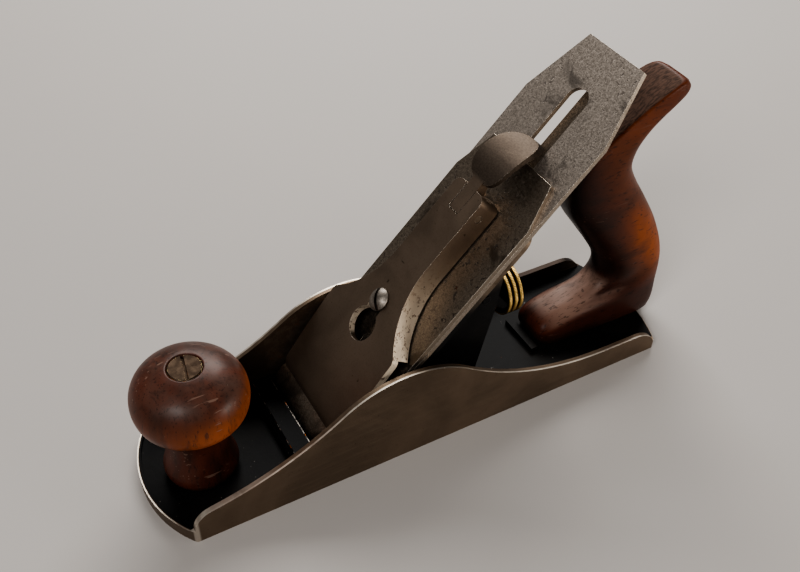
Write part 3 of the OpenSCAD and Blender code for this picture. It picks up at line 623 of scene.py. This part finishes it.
def tote():
    """The shaped tote: a rounded foot, an oval grip and a horn with a crisp flat top."""
    # In mm: front x, z, rear x, z, half width in front and at the rear; then crispness in front
    # and at the rear
    stations = spline([
        (59.7, 5.1, 121.0, 5.1, 11.2, 11.7, 6.0, 6.0),
        (57.9, 8.5, 121.9, 8.0, 11.6, 12.0, 6.0, 6.0),
        (58.4, 12.5, 122.7, 12.5, 11.4, 12.0, 5.4, 5.6),
        (61.3, 16.2, 123.0, 17.5, 10.6, 12.0, 3.6, 5.0),
        (69.0, 19.0, 123.1, 22.0, 8.8, 12.0, 3.0, 4.6),
        (79.5, 21.4, 123.2, 26.5, 8.4, 12.0, 2.7, 4.2),
        (88.3, 25.2, 123.0, 31.0, 9.8, 12.0, 2.5, 3.8),
        (92.3, 30.5, 122.4, 37.0, 11.2, 12.0, 2.4, 3.4),
        (91.2, 38.0, 120.2, 45.5, 11.9, 12.0, 2.4, 3.1),
        (85.0, 48.6, 115.0, 57.7, 12.0, 12.0, 2.4, 2.9),
        (77.5, 59.7, 108.2, 69.6, 12.0, 12.0, 2.5, 2.8),
        (70.3, 70.8, 100.9, 81.4, 12.0, 12.0, 2.8, 2.8),
        (66.3, 81.5, 96.9, 89.5, 11.9, 11.9, 3.6, 2.9),
        (65.9, 92.0, 96.4, 94.5, 11.6, 11.6, 5.0, 3.0),
        (70.0, 101.2, 98.2, 100.3, 11.1, 11.1, 10.0, 3.2),
        (79.0, 107.9, 102.5, 106.5, 10.7, 10.6, 14.0, 3.4),
        (90.0, 114.6, 107.6, 111.0, 10.3, 10.2, 14.0, 3.6),
        (101.0, 121.2, 113.0, 115.2, 10.5, 10.2, 14.0, 3.6),
        (108.5, 124.6, 116.6, 118.2, 10.3, 9.8, 12.0, 3.6),
        (113.6, 125.6, 118.4, 120.6, 9.0, 8.6, 7.0, 3.2),
        (116.0, 125.0, 118.6, 122.6, 6.0, 6.0, 3.4, 2.8),
    ], 150)
    rings = [section(Vector((fx, 0, fz)) * MM, Vector((rx, 0, rz)) * MM, fh * MM, rh * MM, fp, rp)
             for fx, fz, rx, rz, fh, rh, fp, rp in stations]
    wood = wood_paint("tote_rosewood", grain=(40, 210, 130), painted_glow=tote_painted_glow, painted_highlight=tote_painted_highlight,
                      scuffs=0.2, shine=0.13, painted_shade=tote_painted_shade, top=tote_top)
    piece = new_piece("shaped_tote", rings_mesh(rings), wood, "body", "tote")
    axis = Vector((-math.sin(ROD_LEAN), 0, math.cos(ROD_LEAN)))
    well = ROD_FOOT + axis * (ROD_TOP + NUT_WELL_CUT / 2)
    carve(piece, well, axis, NUT_WELL_RADIUS, NUT_WELL_CUT)


def carve(piece, centre, axis, radius, length):
    """Cuts a round well in a piece."""
    tool = bmesh.new()
    bmesh.ops.create_cone(tool, cap_ends=True, segments=64, radius1=radius, radius2=radius,
                          depth=length)
    turn = axis.to_track_quat("Z", "Y").to_matrix().to_4x4()
    bmesh.ops.transform(tool, matrix=Matrix.Translation(centre) @ turn, verts=tool.verts)
    tool.to_mesh(data := bpy.data.meshes.new("cutter"))
    tool.free()
    cutter = bpy.data.objects.new("cutter", data)
    bpy.context.scene.collection.objects.link(cutter)
    cut = piece.modifiers.new("well", "BOOLEAN")
    cut.operation, cut.object, cut.solver = "DIFFERENCE", cutter, "EXACT"
    seen = piece.evaluated_get(bpy.context.evaluated_depsgraph_get())
    made = bpy.data.meshes.new_from_object(seen)
    piece.modifiers.clear()
    piece.data = made
    bpy.data.objects.remove(cutter)
    sharp = piece.modifiers.new("sharp", "EDGE_SPLIT")
    sharp.split_angle = math.radians(50)


# ---- light, floor and camera ----
def area_light(name, at, aim, size, power, color):
    data = bpy.data.lights.new(name, "AREA")
    data.shape = "RECTANGLE"
    data.size, data.size_y = size
    data.energy = power
    data.color = color
    light = bpy.data.objects.new(name, data)
    light.location = at
    light.rotation_mode = "QUATERNION"
    light.rotation_quaternion = (Vector(aim) - Vector(at)).to_track_quat("-Z", "Y")
    bpy.context.scene.collection.objects.link(light)


def studio():
    """A plain pale floor, a soft grey surround and three soft boxes."""
    bpy.ops.mesh.primitive_plane_add(size=12, location=(0, 0, -0.02 * MM))
    floor = bpy.context.object
    floor.name = "floor"
    p = Paint("pale_floor")
    tone = p.mix(p.noise(3, 3), FLOOR_DARK, FLOOR_PALE)
    floor.data.materials.append(p.finish(tone, 0.0, 0.75))
    world = bpy.data.worlds.new("studio")
    world.use_nodes = True
    background = world.node_tree.nodes["Background"]
    background.inputs["Color"].default_value = SURROUND
    background.inputs["Strength"].default_value = 0.22
    bpy.context.scene.world = world
    middle = (0, 0, 0.04)
    area_light("back_box", (0.42, 0.72, 0.78), middle, (0.9, 0.6), 12, (1, 0.97, 0.93))
    area_light("high_box", (-0.6, -0.4, 0.8), middle, (0.35, 0.35), 4, (1, 0.97, 0.94))
    area_light("low_box", (0.75, -0.72, 0.16), middle, (0.45, 0.25), 4, (1, 0.93, 0.84))


def camera():
    data = bpy.data.cameras.new("camera")
    data.sensor_width = 36
    data.lens = CAMERA_LENS
    data.clip_start, data.clip_end = 0.01, 50
    view = bpy.data.objects.new("camera", data)
    bpy.context.scene.collection.objects.link(view)
    view.location = CAMERA_AT
    view.rotation_mode = "QUATERNION"
    aim = (CAMERA_AIM - CAMERA_AT).to_track_quat("-Z", "Y")
    view.rotation_quaternion = aim @ Quaternion((0, 0, 1), math.radians(CAMERA_ROLL))
    bpy.context.scene.camera = view


def dress():
    """Gives every CAD node its softened edges and its finish."""
    casting, japanned, worn = casting_paint(), japanned_paint(), worn_edge_paint()
    iron = steel_paint("iron_patina", IRON_PATINA, IRON_PATINA_MID, STEEL_DARK,
                       pits=0.7, stain=0.75, rough=0.4)
    cap_iron = steel_paint("cap_iron_patina", SMALL_LIGHT, CAP_IRON_MID, CAP_IRON_DARK,
                           pits=0.9, stain=0.75, rough=0.34, speckle=0.4)
    small = steel_paint("small_steel", SMALL_LIGHT, SMALL_MID, STEEL_DARK,
                        pits=0.4, stain=0.4, rough=0.36, speckle=0.3)
    polished = steel_paint("screw_steel", SCREW_LIGHT, SCREW_MID, STEEL_DARK,
                           pits=0.2, stain=0.2, rough=0.4, speckle=0.2, slot=screw_slot_shade)
    spring = steel_paint("spring_steel", SPRING_LIGHT, SPRING_MID, STEEL_DARK,
                         pits=0.3, stain=0.4, rough=0.4, speckle=0.3)
    cap, nuts, rim = cap_paint(), rusty_brass_paint(), brass_rim_paint()
    brass = depth_brass_paint()
    soften("plane_body", casting, casting, 0.35)
    for node in ("frog", "y_lever", "y_lever_pin"):
        soften(node, japanned, japanned, 0.3)
    soften("cutting_iron", iron, worn, 0.3)
    soften("cap_iron", cap_iron, worn, 0.35)
    soften("lever_cap", cap, worn, 0.35, 3)
    soften("cam_lever", cap, worn, 0.3, 3)
    soften("lateral_lever", small, worn, 0.25)
    soften("lever_cap_screw", polished, polished, 0.2)
    soften("lever_cap_spring", spring, spring, 0.1)
    soften("depth_nut", brass, brass, 0.3, 3)
    soften("tote_nut", nuts, rim, 0.25)
    soften("knob_nut", nuts, rim, 0.25)
    for node in ("frog_screws", "frog_washers", "frog_adjust_screw", "frog_adjust_plate",
                 "frog_plate_screw", "depth_stud", "lateral_rivet", "lateral_roller",
                 "cap_iron_screw", "spring_rivet", "cam_pin", "tote_rod", "knob_rod"):
        soften(node, small, worn, 0.2)


dress()
knob()
tote()
studio()
camera()

scene = bpy.context.scene
scene.view_settings.view_transform = "AgX"
scene.view_settings.look = "AgX - Medium High Contrast"
